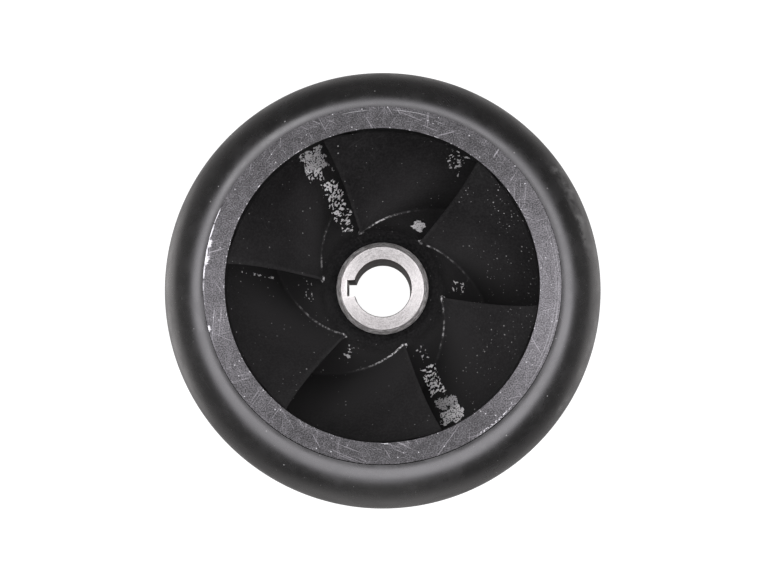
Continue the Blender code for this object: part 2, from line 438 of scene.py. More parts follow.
floor_mesh = bpy.data.meshes.new("floor")
half = FLOOR_SIZE / 2
floor_mesh.from_pydata(
    [(-half, -half, 0.0), (half, -half, 0.0), (half, half, 0.0), (-half, half, 0.0)],
    [],
    [(0, 1, 2, 3)],
)
floor = bpy.data.objects.new("floor", floor_mesh)
floor.location.z = -0.05 * MM
bpy.context.scene.collection.objects.link(floor)
floor.visible_glossy = False
pale = Surface("pale lit table")
cloth = pale.noise(3.0)
floor_mesh.materials.append(pale.finish(
    Base_Color=pale.mix(cloth, (0.10, 0.10, 0.10), (0.12, 0.12, 0.12)),
    Emission_Color=pale.mix(cloth, (0.97, 0.97, 0.97), (1.0, 1.0, 1.0)),
    Emission_Strength=1.0,
    Roughness=0.8,
    Specular_IOR_Level=0.2,
))

# %% [markdown]
# ## Soft lamp
# The room shines from all sides, so one weak lamp gives the light a main direction. It is a wide
# disk at the upper left, and its strength is kept low, because the mirrored room does the rest.

# %% Soft lamp
LAMP_PLACE = Vector((-0.55, 0.75, 1.15))
LAMP_SIZE = 0.6
LAMP_WATTS = 1.5

lamp_data = bpy.data.lights.new("soft lamp", "AREA")
lamp_data.shape = "DISK"
lamp_data.size = LAMP_SIZE
lamp_data.energy = LAMP_WATTS
lamp = bpy.data.objects.new("soft lamp", lamp_data)
lamp.location = LAMP_PLACE
lamp.rotation_euler = LAMP_PLACE.to_track_quat("Z", "Y").to_euler()
bpy.context.scene.collection.objects.link(lamp)
print(f"lamp {LAMP_PLACE.length:.2f} m from the wheel")

# %% [markdown]
# ## Black moulded polymer
# The shrouds and vanes are moulded in a satin black polymer. Its colour hardly varies: what shows
# is the sheen, the fine grain of the mould, light handling scuffs and dust. It has a high
# refractive index, so its highlights are strong for something so black. At the right the
# shoulder carries two pale handling marks, which are dusty wisps down its upper half.

# %% Black finish
SATIN_BLACKS = ((0.0018, 0.0018, 0.0018), (0.0100, 0.0098, 0.0096))
DULL_BLACKS = ((0.0014, 0.0014, 0.0014), (0.0165, 0.0163, 0.0161))
DUST = (0.16, 0.16, 0.155)
POLYMER_INDEX = 1.68
HANDLED_DEPTHS = (20 * MM, 38 * MM)
HANDLING_MARKS = (
    # angle, length, radius, width, strength
    (22.0, 60 * MM, 103.2 * MM, 12.0 * MM, 1.0),
    (-24.0, 66 * MM, 104.8 * MM, 6.0 * MM, 0.5),
)


def black_body(look, dust, blacks, tone_and_painted_light, smudges, smoothest):
    """Colour, roughness and normal of the moulded black, under a tone offset, smudges and dust. Inside
    the eye the tone offset is painted light and shade.
    """
    cloud = look.noise(80.0, 5.0, None, 0.65).rises(0.34, 0.70)
    fine = scratches(look, 0.6, 2600.0, 0.66, 0.74, 3.0) * look.noise(60.0, 1.0).rises(0.5, 0.6)
    wide = scratches(look, 2.2, 1900.0, 0.66, 0.75, 9.0) * look.noise(50.0, 1.0).rises(0.5, 0.62)
    scuffs = fine + wide
    mottle = look.noise(900.0, 3.0, None, 0.7).rises(0.35, 0.70)
    # Inside the eye the tone offset in this sum is painted light and shade.
    worn = tone_and_painted_light + cloud * smudges + mottle * 0.30 + scuffs * 0.5
    colour = look.mix(dust, look.mix(worn, *blacks), DUST)
    roughness = smoothest + cloud * smudges * 0.5 + scuffs * 0.08 + dust * 0.4
    grain = look.noise(2300.0, 3.0)
    ripple = look.noise(140.0, 1.0)
    normal = look.bump(ripple, 0.05 * MM, 0.6)
    normal = look.bump(grain + scuffs * -0.4 + dust * 0.6, 0.012 * MM, 1.0, normal)
    return colour, roughness, normal


def black_outside():
    """The shrouds' outside: satin, with a few fine specks and the two handling marks."""
    look = Surface("moulded black")
    dust = specks(look, 260.0, 0.11, 0.16) + specks(look, 520.0, 0.14, 0.08) * 0.5
    handled = 0.0
    for *mark, strength in HANDLING_MARKS:
        handled = handled + arc_mark(look, *mark) * strength
    full, gone = HANDLED_DEPTHS
    handled = handled * look.z.rises(HEIGHT - gone, HEIGHT - full)
    upright = look.vector(look.x, look.y, look.z * 0.35)
    wisps = look.noise(140.0, 4.0, upright, 0.6).rises(0.38, 0.78)
    dust = dust * 0.8 + handled * wisps * 0.60
    colour, roughness, normal = black_body(look, dust, SATIN_BLACKS, 0.06, 0.26, 0.21)
    return look.finish(Base_Color=colour, Roughness=roughness, Normal=normal, IOR=POLYMER_INDEX)


outside_black = black_outside()

# %% [markdown]
# ## The dull black inside
# Inside the eye nothing mirrors the lights, so the wetted faces are dull. They are painted paler
# deep in the passages, where shade falls, towards the picture's bottom and at the right, and
# darker near the sleeve, where the hub's top catches light: painted light and shade. Larger dust
# lies mostly on the right. Beside the leading edges, in the deepest shade, are pale speckled
# patches of painted light. Each patch has a place on the wheel, seen down the axis, a share of
# grains and a paleness. A pale broken line, a painted highlight on the fillet, starts where each
# vane meets the hub: the vane meshes carry it as an attribute, because only they know where that
# corner is.

# %% Inside finish
# The patches' colour is painted light, laid in the deepest shade.
PATCH_LIGHT_COLOUR = (0.62, 0.62, 0.61)
# The colour of the foot line is a painted highlight on the fillet.
ROOT_HIGHLIGHT = (0.45, 0.45, 0.44)
DULL_SPECULAR = 0.018
# Depths and radii over which the inside is painted paler: painted light and shade.
PAINTED_LIGHT_DEPTHS = (18 * MM, 46 * MM)
PAINTED_LIGHT_RADII = (22 * MM, 36 * MM)
ROOT_HIGHLIGHT_RADII = (30 * MM, 46 * MM)
PATCH_RADII = (72.5 * MM, 73 * MM)
DENSE = 0.75
ALONG_EDGE = [FIRST_EDGE_ANGLE - number * 360 / VANE_COUNT for number in range(VANE_COUNT)]
PATCHES = (
    # middle in mm, half length, half width, slant, share of grains, paleness
    ((-33.4, 63.6), 4.6, 5.4, ALONG_EDGE[0], 0.77, 0.38),
    ((-33.0, 56.6), 2.0, 3.8, ALONG_EDGE[0], 0.55, 0.60),
    ((-23.2, 45.6), 8.6, 3.8, ALONG_EDGE[0], 0.52, 1.00),
    ((-18.2, 32.5), 4.5, 2.6, ALONG_EDGE[0], 0.45, 0.90),
    ((31.5, -56.3), 2.8, 4.8, ALONG_EDGE[0], 0.84, 0.46),
    ((33.7, -61.5), 2.8, 4.9, ALONG_EDGE[0], 0.76, 0.78),
    ((25.0, -45.0), 7.0, 3.5, ALONG_EDGE[0], 0.52, 1.00),
    ((20.0, -31.5), 3.4, 2.2, ALONG_EDGE[0], 0.28, 0.60),
    ((37.0, 64.2), 5.4, 4.2, ALONG_EDGE[1], 0.40, 0.42),
    ((18.0, 32.0), 2.7, 2.7, ALONG_EDGE[1], 0.92, 0.80),
    ((37.7, 1.6), 3.2, 2.4, ALONG_EDGE[2], 0.42, 0.80),
    ((-17.4, -32.0), 4.2, 2.2, ALONG_EDGE[4], 0.34, 0.60),
    ((-36.6, -0.8), 5.6, 2.0, ALONG_EDGE[0] - 18.0, 0.22, 0.50),
    ((-62.3, 7.6), 7.2, 0.5, ALONG_EDGE[5], 0.50, 0.60),
)


def painted_light_patches(look):
    """How much of the surface the painted light patches take, in fine or coarse grains."""
    ragged = (look.noise(700.0) - 0.5) * 4 * MM + (look.noise(230.0) - 0.5) * 7 * MM
    fine = look.noise(1300.0, 1.0)
    coarse = look.noise(620.0, 1.5) * 0.75 + look.noise(200.0, 1.0) * 0.25
    light_patch_layers = []
    for middle, half_length, half_width, slant, share, paleness in PATCHES:
        place = (middle[0] * MM, middle[1] * MM)
        edge = ragged * (half_width / 4)
        shape = patch(look, place, half_length * MM, half_width * MM, slant, edge)
        grains = fine if share > DENSE else coarse
        threshold = 0.68 - 0.34 * share
        light_patch_layers.append(shape * grains.rises(threshold, threshold + 0.02) * paleness)
    below_ring = look.z.falls(HEIGHT - RING_DEPTH - 0.3 * MM, HEIGHT - RING_DEPTH - 0.1 * MM)
    return reduce(Amount.or_more, light_patch_layers) * look.radius.falls(*PATCH_RADII).or_more(below_ring)


def black_inside():
    """The hub and the vanes: dust, painted light and shade, the painted light patches and the painted
    highlight at the vanes' feet.
    """
    look = Surface("dull moulded black")
    to_the_right = look.x.rises(20 * MM, 60 * MM)
    share = 0.12 + to_the_right * look.noise(60.0, 1.0).rises(0.43, 0.57) * 0.90
    dust = specks(look, 330.0, 0.13, share) + specks(look, 640.0, 0.17, share * 0.6) * 0.6
    # Painted light and shade: paler deep in the passages, towards the picture's bottom and at the right,
    # and darker near the sleeve.
    start, full = PAINTED_LIGHT_DEPTHS
    deep = look.z.falls(HEIGHT - full, HEIGHT - start)
    lower = (look.x * 0.35 + look.y * 0.94).falls(-45 * MM, 45 * MM)
    painted_light = 0.24 + deep * 0.55 + lower * 0.40 + to_the_right * 0.15
    tone_and_painted_light = look.radius.rises(*PAINTED_LIGHT_RADII) * painted_light - 0.18
    colour, roughness, normal = black_body(look, dust, DULL_BLACKS, tone_and_painted_light + 0.10, 0.12, 0.55)
    dots = look.noise(650.0, 1.5).rises(0.49, 0.54) * 0.86 + 0.14
    dots = dots * look.noise(170.0, 1.0).rises(0.38, 0.56)
    dots = dots * (0.25 + look.noise(38.0, 1.0).rises(0.40, 0.56) * 0.75)
    # Painted highlight: a pale broken line on the fillet at each vane's foot.
    crease = look.attribute("crease") * dots * look.radius.falls(*ROOT_HIGHLIGHT_RADII)
    # Painted light: pale speckled patches in the deepest shade beside the leading edges.
    light_patches = painted_light_patches(look)
    colour = look.mix(crease, look.mix(light_patches, colour, PATCH_LIGHT_COLOUR), ROOT_HIGHLIGHT)
    normal = look.bump(light_patches, 0.05 * MM, 0.8, normal)
    return look.finish(
        Base_Color=colour,
        Roughness=roughness + light_patches * 0.35,
        Normal=normal,
        Specular_IOR_Level=DULL_SPECULAR,
    )


inside_black = black_inside()

# %% [markdown]
# ## The turned ring
# The flat ring round the eye is the same polymer, machined to run in the casing. The tool leaves
# fine rings and a grey, less glossy face. Its left and right are painted paler, a painted sheen
# for the highlight that lamps at both sides draw on a turned face. On top lie fine scratches in
# many directions, a few long grooves that follow the circle, and white scuffs where the edge was
# knocked. The mesh carries the worn places as an attribute.

# %% Ring finish
RING_DARK = (0.003, 0.003, 0.003)
RING_PALE = (0.200, 0.195, 0.204)
SCUFF_WHITE = (0.60, 0.60, 0.61)
RING_INDEX = 1.36
SCRATCH_ANGLES = (0.25, 0.95, 1.5, 2.1, 2.75)
GROOVES = (
    # angle, length, radius, width
    (-8.0, 90 * MM, 82.3 * MM, 0.30 * MM),
    (-6.0, 80 * MM, 81.0 * MM, 0.25 * MM),
    (88.6, 50 * MM, 82.2 * MM, 0.30 * MM),
    (190.0, 44 * MM, 83.1 * MM, 0.30 * MM),
)


def turned_ring():
    """The ring's face: tool marks, speckle, scratches, grooves, white worn places and a painted sheen at
    its left and right.
    """
    look = Surface("turned polymer ring")
    lines = turned_lines(look, 2600.0).rises(0.35, 0.68)
    marks = 0.0
    for number, angle in enumerate(SCRATCH_ANGLES):
        group = look.noise(55.0, 1.0, look.vector(look.x, look.y, 0.03 * number)).rises(0.50, 0.60)
        marks = marks + scratches(look, angle, 1900.0, 0.66, 0.73, 5.0 * number) * group
    rightness = look.x / look.radius
    # Painted sheen: the ring is paler at its left and right, most at the lower right, as a turned face's
    # highlight.
    painted_sheen = abs(rightness) ** 4.0 * (0.20 + rightness * 0.06) * (1 - look.y / look.radius * 0.6)
    speckle = look.noise(1600.0, 4.0, None, 0.8).rises(0.36, 0.68)
    blotch = look.noise(260.0, 3.0).rises(0.36, 0.66)
    pale = speckle * (0.46 + painted_sheen) + blotch * 0.09 + lines * 0.06 + marks * 0.50 + painted_sheen * 0.70 - 0.134
    grooves = 0.0
    for groove in GROOVES:
        grooves = grooves + arc_mark(look, *groove)
    grooves = grooves * look.noise(90.0, 2.0).rises(0.36, 0.62)
    dotted = arc_mark(look, -50.5, 24 * MM, 82.7 * MM, 0.9 * MM) * look.noise(1300.0).rises(0.52, 0.56)
    flecks = specks(look, 420.0, 0.15, 0.25) * 0.45 + grooves * 0.19 + dotted * 0.6
    wear = look.attribute("wear")
    torn = (wear + (look.noise(1100.0, 2.0) - 0.5) * 1.4).rises(0.42, 0.55) * wear
    worn = torn.or_more(flecks)
    face = look.z.rises(HEIGHT - 0.7 * MM, HEIGHT - 0.35 * MM)
    colour = look.mix(worn * face, look.mix(pale * face, RING_DARK, RING_PALE), SCUFF_WHITE)
    normal = look.bump(lines * 0.6 + marks * -0.5 + speckle * 0.5, 0.02 * MM, 1.0)
    return look.finish(
        Base_Color=colour,
        Roughness=0.50 + speckle * 0.08 + worn * 0.2,
        Normal=normal,
        IOR=RING_INDEX,
    )


ring_grey = turned_ring()

# %% [markdown]
# ## The steel sleeve
# The sleeve's face is turned and then rubbed, so it is bright with faint rings and short strokes.
# Face and collar are painted darker at the top and bottom than at the left and right: a painted
# bow-tie highlight, as a turned face shows under lamps at both sides. The chamfered collar is the
# same metal, and looks darker because it mirrors the dim horizon. It is duller too, less so
# towards the picture's top. The bore and the keyway are dull and brownish with old oil, and that
# dark colour is also painted shade in the deep bore; on the chamfer at the bore's mouth it is a
# painted reflection of the dim horizon.

# %% Steel finish
STEEL = (0.56, 0.548, 0.53)
STEEL_DULL = (0.19, 0.185, 0.178)
OIL_AND_SHADE = (0.024, 0.020, 0.018)


def turned_steel():
    """Bright turned steel with a painted bow-tie highlight on face and collar, and a dark brownish tone
    in its bore and keyway that is partly painted shade.
    """
    look = Surface("turned steel")
    lines = turned_lines(look, 1700.0, 4.0).rises(0.40, 0.60)
    grain = look.noise(1700.0, 2.0, None, 0.7).rises(0.40, 0.62)
    strokes = scratches(look, 1.25, 2600.0, 0.52, 0.68, 1.0)
    strokes = strokes + scratches(look, 2.5, 2400.0, 0.54, 0.70, 7.0)
    stain = look.noise(120.0, 3.0).rises(0.40, 0.64)
    # Painted shade and reflection: the bore, the keyway and the chamfer at the bore's mouth get the dark
    # brownish colour, which also stands for old oil.
    bore_edge = BORE_RADIUS + 0.45 * MM
    key_edge = BORE_RADIUS + KEYWAY_DEPTH + 0.05 * MM
    in_bore = look.radius.falls(bore_edge - 0.15 * MM, bore_edge)
    in_key = abs(look.y).falls(KEYWAY_WIDTH / 2 + 0.1 * MM, KEYWAY_WIDTH / 2 + 0.2 * MM)
    in_key = in_key * look.x.falls(0.0, 1 * MM) * look.radius.falls(key_edge, key_edge + 0.3 * MM)
    face = HEIGHT - SLEEVE_TOP_DEPTH
    oil_and_shade = in_bore.or_more(in_key) * look.z.falls(face - 0.03 * MM, face - 0.005 * MM)
    collar = look.radius.rises(SLEEVE_FACE_RADIUS, SLEEVE_FACE_RADIUS + 0.2 * MM)
    # Painted highlight: the steel is darker at the top and bottom than at the left and right, a bow-tie,
    # mixed into the dull share.
    inwards = 1 - abs(look.x / look.radius) ** 3.0
    # The collar's colour is paler towards the picture's top.
    paler_to_top = collar * look.y.rises(-4 * MM, 22 * MM) * 0.40
    dull = lines * (0.18 + collar * 0.5) + grain * 0.22 + stain * 0.15 + strokes * 0.08
    dull = dull + inwards * 0.42 - paler_to_top
    colour = look.mix(oil_and_shade, look.mix(dull, STEEL, STEEL_DULL), OIL_AND_SHADE)
    normal = look.bump(lines + strokes * 0.4, 0.012 * MM, 1.0)
    return look.finish(
        Base_Color=colour,
        Metallic=1 - oil_and_shade * 0.75,
        Roughness=0.32 + stain * 0.08 + oil_and_shade * 0.25 + collar * 0.22,
        Normal=normal,
    )


steel = turned_steel()

# %% [markdown]
# ## Outlines
# Most of the wheel is turned, so it is drawn as outlines of radius and depth. Long stretches are
# curves with two handles, and each corner that a moulder or a turner would break is a short arc.

# %% Outlines
def curve(start, first_handle, second_handle, end, count):
    """Points on a cubic curve."""
    corners = np.array([start, first_handle, second_handle, end])
    share = np.linspace(0.0, 1.0, count)[:, None]
    weights = np.hstack([
        (1 - share) ** 3, 3 * share * (1 - share) ** 2, 3 * share ** 2 * (1 - share), share ** 3,
    ])
    return weights @ corners


def corner_arc(before, corner, after, reach, steps):
    """A short arc that takes a corner's place, from reach before it to reach after it."""
    ends = []
    for other in (before, after):
        way = other - corner
        ends.append(corner + way * reach / np.linalg.norm(way, axis=-1, keepdims=True))
    return [
        (1 - share) ** 2 * ends[0] + 2 * share * (1 - share) * corner + share ** 2 * ends[1]
        for share in np.linspace(0.0, 1.0, steps + 1)
    ]


def broken_corners(corners, steps=4):
    """A closed outline of (radius, depth, break) corners, each break made as a short arc."""
    places = [np.array(corner[:2]) for corner in corners]
    outline = []
    for number, place in enumerate(places):
        reach = corners[number][2]
        if reach == 0.0:
            outline.append(place)
        else:
            after = places[(number + 1) % len(places)]
            outline.extend(corner_arc(places[number - 1], place, after, reach, steps))
    return np.array(outline)


def plain(points):
    """Curve points as corners that stay as they are."""
    return [(radius, depth, 0.0) for radius, depth in points]


# %% [markdown]
# ## From outlines to meshes
# A mesh is a list of places and a list of faces that name their corners by number. When the places
# lie in a grid, numpy can write both at once: a row for each step round the axis, a column for
# each corner of the outline. The signed volume that is printed for each piece is a good test,
# because it turns negative when the faces look inwards.

# %% Meshes
SHARP_ANGLE = 32.0
CUBIC_CM = 1e-6


def quads(index):
    """The corners of the faces over a grid of point numbers."""
    return np.stack([index[:-1, :-1], index[:-1, 1:], index[1:, 1:], index[1:, :-1]], -1).reshape(-1, 4)


def make_piece(name, places, faces, sharp_angle=SHARP_ANGLE):
    """A smooth shaded piece from its places and faces."""
    mesh = bpy.data.meshes.new(name)
    mesh.from_pydata(places.reshape(-1, 3).tolist(), [], faces)
    mesh.shade_smooth()
    mesh.set_sharp_from_angle(angle=math.radians(sharp_angle))
    piece = bpy.data.objects.new(name, mesh)
    bpy.context.scene.collection.objects.link(piece)
    return piece


def turned_places(outline, segments):
    """Places of an outline turned round the axis, one row for each segment."""
    angles = np.arange(segments) * 2 * math.pi / segments
    radius, depth = outline.T
    return np.stack([
        np.outer(np.cos(angles), radius),
        np.outer(np.sin(angles), radius),
        np.broadcast_to(HEIGHT - depth, (segments, len(outline))),
    ], -1)


def ring_faces(segments, corners):
    """Faces of a turned piece, closed both ways."""
    index = np.arange(segments * corners).reshape(segments, corners)
    index = np.vstack([index, index[:1]])
    index = np.hstack([index, index[:, :1]])
    return quads(index).tolist()


def turn(name, outline, segments):
    """Turn a closed outline, which runs clockwise with the radius to the right and depth down."""
    return make_piece(name, turned_places(outline, segments), ring_faces(segments, len(outline)))


def dress(piece, material, node):
    """Give a piece its finish and its body, and hide the CAD node that it stands for."""
    piece.data.materials.append(material)
    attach(piece, "root")
    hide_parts(node)
    shape = bmesh.new()
    shape.from_mesh(piece.data)
    volume = shape.calc_volume(signed=True) / CUBIC_CM
    shape.free()
    print(f"{piece.name}: {len(piece.data.polygons)} faces, {volume:.1f} cm3")


def finish_band(piece, material, outline_length, first, last):
    """Give the faces from one corner of a turned outline to another a second finish."""
    piece.data.materials.append(material)
    for number, face in enumerate(piece.data.polygons):
        if first <= number % outline_length < last:
            face.material_index = 1


# %% [markdown]
# ## Front shroud
# The wide shoulder is a quarter of an ellipse: it leaves the ring flat and meets the rim upright.
# Under it the lip rolls into the mouth, where the water leaves, and the wall runs back up to the
# seat of the ring. Lathe work is one outline and a full turn, which keeps the highlight clean.

# %% Front shroud
SHOULDER_START = RING_OUTER_RADIUS + SEAM
SHOULDER_POINTS = 60
SHROUD_SEGMENTS = 288

lean_angles = np.linspace(0.0, math.pi / 2, SHOULDER_POINTS)
shoulder = np.stack([
    SHOULDER_START + (RIM_RADIUS - SHOULDER_START) * np.sin(lean_angles),
    STEP_DEPTH + (RIM_DEPTH - STEP_DEPTH) * (1 - np.cos(lean_angles)),
], -1)
lip = curve(shoulder[-1], (RIM_RADIUS, 48.6 * MM), (106.4 * MM, 50.6 * MM), MOUTH, 14)
shroud_wall = curve((EYE_RADIUS, RING_DEPTH), (76 * MM, 21 * MM), (94 * MM, 36 * MM), MOUTH, 48)
shroud_outline = np.vstack([
    shoulder,
    lip[1:],
    shroud_wall[::-1][1:],
    [(SHOULDER_START, RING_DEPTH)],
])
shroud = turn("shroud_shoulder", shroud_outline, SHROUD_SEGMENTS)
dress(shroud, outside_black, "front_shroud")
wall_start = len(shoulder) + len(lip) - 1
finish_band(shroud, inside_black, len(shroud_outline), wall_start, len(shroud_outline))

# %% [markdown]
# ## Eye ring
# The ring's face is flat, but its inner edge is the part that gets knocked: small nicks run all
# round it, closer together on the left, with one long chip at the bottom. On the left the outer
# edge was rubbed white. The nicks are real dents, made by moving the points near the edge, and
# the same numbers are kept on the mesh for the finish. The ring's outer edge sits a hair off
# centre, so that its seam with the shoulder is nearly closed at the top and open at the bottom.

# %% Eye ring
RING_SEGMENTS = 960
OFF_CENTRE = (-0.03 * MM, 0.17 * MM)
EDGE_STEPS = np.array([0.08, 0.18, 0.32, 0.5, 0.75, 1.1, 1.6, 2.4]) * MM
STEP_COUNT = len(EDGE_STEPS)
# Before the foot of the eye's wall come two faces of EDGE_STEPS and four corners of the outer side.
WALL_FOOT = 2 * STEP_COUNT + 4
MOVED_CORNERS = slice(WALL_FOOT - STEP_COUNT, WALL_FOOT)


def ring_outline():
    """The ring's outline, with close points at both edges of its face."""
    inner_face = [(EYE_RADIUS + step, 0.0) for step in EDGE_STEPS]
    outer_face = [(RING_OUTER_RADIUS - 0.15 * MM - step, 0.0) for step in EDGE_STEPS[::-1]]
    inner_wall = [(EYE_RADIUS, step) for step in EDGE_STEPS[::-1]]
    outer_edge = [(RING_OUTER_RADIUS - 0.1 * MM, 0.02 * MM), (RING_OUTER_RADIUS, 0.14 * MM)]
    outer_wall = [(RING_OUTER_RADIUS, 0.4 * MM), (RING_OUTER_RADIUS, RING_DEPTH)]
    foot = (EYE_RADIUS, RING_DEPTH)
    inner_edge = [(EYE_RADIUS, 0.04 * MM), (EYE_RADIUS + 0.04 * MM, 0.0)]
    return np.array([*inner_face, *outer_face, *outer_edge, *outer_wall, foot, *inner_wall, *inner_edge])


def edge_nicks():
    """Angle in degrees, length, width and depth of each nick in the eye's edge."""
    dice = random.Random(4)
    nicks = [
        (-89.0, 4.8 * MM, 1.0 * MM, 0.35 * MM),
        (-2.0, 2.0 * MM, 0.7 * MM, 0.25 * MM),
        (37.0, 1.6 * MM, 0.6 * MM, 0.20 * MM),
    ]
    for _ in range(60):
        size = dice.uniform(0.5, 1.3) * MM
        nicks.append((dice.uniform(0, 360), size, size * 0.4, size * 0.12))
    for _ in range(55):
        size = dice.uniform(0.6, 1.5) * MM
        nicks.append((dice.gauss(160, 26), size, size * 0.45, size * 0.15))
    return nicks


OUTER_SCUFFS = (
    # angle, length, width, depth
    (157.5, 9.0 * MM, 0.45 * MM, 0.08 * MM),
    (163.0, 9.0 * MM, 0.8 * MM, 0.10 * MM),
    (166.6, 5.0 * MM, 2.3 * MM, 0.25 * MM),
    (169.6, 5.0 * MM, 1.0 * MM, 0.15 * MM),
    (172.0, 6.0 * MM, 2.6 * MM, 0.30 * MM),
    (176.0, 8.0 * MM, 0.9 * MM, 0.10 * MM),
    (180.4, 6.0 * MM, 0.35 * MM, 0.04 * MM),
    (194.3, 3.4 * MM, 1.5 * MM, 0.20 * MM),
)


def dent(places, wear, marks, edge_radius, inwards, drop, whiteness):
    """Move points near an edge down, and out or in along the radius, and note the wear there."""
    radius = np.hypot(places[..., 0], places[..., 1])
    angle = np.arctan2(places[..., 1], places[..., 0])
    off_edge = np.hypot(radius - edge_radius, HEIGHT - places[..., 2])
    for degrees, length, width, depth in marks:
        turn_by = (angle - math.radians(degrees) + math.pi) % (2 * math.pi) - math.pi
        along = np.clip(1 - (2 * turn_by * edge_radius / length) ** 2, 0.0, 1.0)
        near = np.clip(1 - off_edge / width, 0.0, 1.0)
        weight = along * near
        push = 1 + inwards * depth * weight / np.maximum(radius, MM)
        places[..., 0] *= push
        places[..., 1] *= push
        places[..., 2] -= drop * depth * weight
        wear[:] = np.maximum(wear, whiteness * np.sqrt(weight))


outline = ring_outline()
ring_places = turned_places(outline, RING_SEGMENTS)
ring_wear = np.zeros(ring_places.shape[:2])
ring_places[:, MOVED_CORNERS, :2] += OFF_CENTRE
dent(ring_places, ring_wear, edge_nicks(), EYE_RADIUS, inwards=0.8, drop=0.8, whiteness=0.7)
dent(ring_places, ring_wear, OUTER_SCUFFS, RING_OUTER_RADIUS, inwards=-0.5, drop=0.6, whiteness=1.0)
eye_ring = make_piece("eye_ring_face", ring_places, ring_faces(RING_SEGMENTS, len(outline)))
wear = eye_ring.data.attributes.new("wear", "FLOAT", "POINT")
wear.data.foreach_set("value", ring_wear.ravel().astype(np.float32))
dress(eye_ring, ring_grey, "eye_ring")
finish_band(eye_ring, inside_black, len(outline), WALL_FOOT, WALL_FOOT + STEP_COUNT - 1)

# %% [markdown]
# ## Hub and back shroud
# The hub rises like a short trumpet from the disc to the sleeve, and the disc closes the back of
# the passages. Its hidden back is kept plain: a flat face with a shallow turned relief.

# %% Hub and disc
HUB_BORE = SLEEVE_RADIUS + 0.05 * MM
RELIEF = 2.5 * MM
HUB_SEGMENTS = 256

hub_top = curve((HUB_BORE, 31.6 * MM), (25.5 * MM, 31.8 * MM), (27.9 * MM, 32.5 * MM), HUB_NOSE, 12)
hub_cone = curve(HUB_NOSE, (39 * MM, 50 * MM), (51 * MM, 68 * MM), (DISC_RADIUS - MM, DISC_DEPTH), 64)
hub_corners = [
    *plain(hub_top),
    *plain(hub_cone[1:-1]),
    (DISC_RADIUS, DISC_DEPTH, 0.8 * MM),
    (DISC_RADIUS, HEIGHT, 0.8 * MM),
    (71 * MM, HEIGHT, 0.5 * MM),
    (70 * MM, HEIGHT - RELIEF, 1.0 * MM),
    (36 * MM, HEIGHT - RELIEF, 1.0 * MM),
    (35 * MM, HEIGHT, 0.5 * MM),
    (HUB_BORE, HEIGHT, 0.3 * MM),
]
hub_outline = broken_corners(hub_corners)
hub = turn("hub_and_disc", hub_outline, HUB_SEGMENTS)
dress(hub, inside_black, "back_shroud")
back_start = len(hub_top) + len(hub_cone) - 2
finish_band(hub, outside_black, len(hub_outline), back_start, len(hub_outline))

# %% [markdown]
# ## Vanes
# A vane is a sheet wrapped between two flow lines, one on the hub and one on the shroud. It turns
# 117 degrees on its way out, faster at first. Its eye side is the sheet itself, its other side is
# the sheet turned back by the thickness, and the nose is blunt. Small fillets join it to
# the hub and the shroud, made by spreading the outermost rows along the wall that they meet.

# %% Vane sheet
VANE_WRAP = math.radians(117.0)
EARLY_TURN = 1.3
EDGE_ROOT_LAG = math.radians(0.8)
EDGE_TIP_LAG = math.radians(0.3)
EDGE_BOW = math.radians(1.3)
VANE_THICKNESS = 3.6 * MM
EDGE_THICKNESS = 0.8 * MM
TAIL_THICKNESS = 2.4 * MM
NOSE_SHARE = 0.12
TAIL_SHARE = 0.20
TIP_DEPTH = 2.0 * MM
ROOT_EXIT_RADIUS = 98.5 * MM
TIP_EXIT_RADIUS = 103.0 * MM
STATIONS = 90
FILLET = 1.1 * MM
FOOT_HEIGHTS = np.array([-0.15, 0.0, 0.07, 0.18, 0.34, 0.56, 0.84, 1.15]) * MM
MIDDLE_ROWS = 26


def flow_line(wall, exit_radius):
    """Evenly spaced stations along a wall, with the way off the wall at each."""
    inside = wall[wall[:, 0] < exit_radius]
    end = (exit_radius, np.interp(exit_radius, wall[:, 0], wall[:, 1]))
    line = np.vstack([inside, [end]])
    travelled = np.concatenate([[0.0], np.cumsum(np.linalg.norm(np.diff(line, axis=0), axis=1))])
    wanted = np.linspace(0.0, travelled[-1], STATIONS)
    line = np.stack([np.interp(wanted, travelled, line[:, axis]) for axis in (0, 1)], -1)
    slope = np.gradient(line, axis=0)
    slope /= np.linalg.norm(slope, axis=1, keepdims=True)
    return line, np.stack([slope[:, 1], -slope[:, 0]], -1)


def row_shares(span_lengths):
    """Where the rows lie between root and tip, with close rows at both walls."""
    foot = FOOT_HEIGHTS[None] / span_lengths[:, None]
    head = 1 - foot[:, ::-1]
    middle = np.linspace(0.0, 1.0, MIDDLE_ROWS + 2)[None, 1:-1]
    middle = foot[:, -1:] + (head[:, :1] - foot[:, -1:]) * middle
    return np.hstack([foot, middle, head])


def placed(radius, depth, angle):
    """Places in the frame from radius, depth and angle."""
    return np.stack([radius * np.cos(angle), radius * np.sin(angle), HEIGHT - depth], -1)


def thickness_angle(radius, depth, angle):
    """How far round the axis the vane's thickness reaches at each point."""
    places = placed(radius, depth, angle)
    normal = np.cross(np.gradient(places, axis=0), np.gradient(places, axis=1))
    normal /= np.linalg.norm(normal, axis=-1, keepdims=True)
    around = np.stack([-np.sin(angle), np.cos(angle), np.zeros_like(angle)], -1)
    facing = np.abs((normal * around).sum(-1))
    share = np.linspace(0.0, 1.0, STATIONS)[:, None]
    nose = 1 - np.clip(1 - share / NOSE_SHARE, 0.0, 1.0) ** 2
    tail = np.clip((share - 1 + TAIL_SHARE) / TAIL_SHARE, 0.0, 1.0) ** 2
    thickness = EDGE_THICKNESS + (VANE_THICKNESS - EDGE_THICKNESS) * nose
    thickness = thickness - (VANE_THICKNESS - TAIL_THICKNESS) * tail
    return thickness / facing / radius


# %% [markdown]
# ## Across a vane
# Each row between root and tip gets a closed loop: in along the eye side, round the nose and out
# along the far side. A loop's four corners are broken, so the leading edge catches a thin line
# of light.

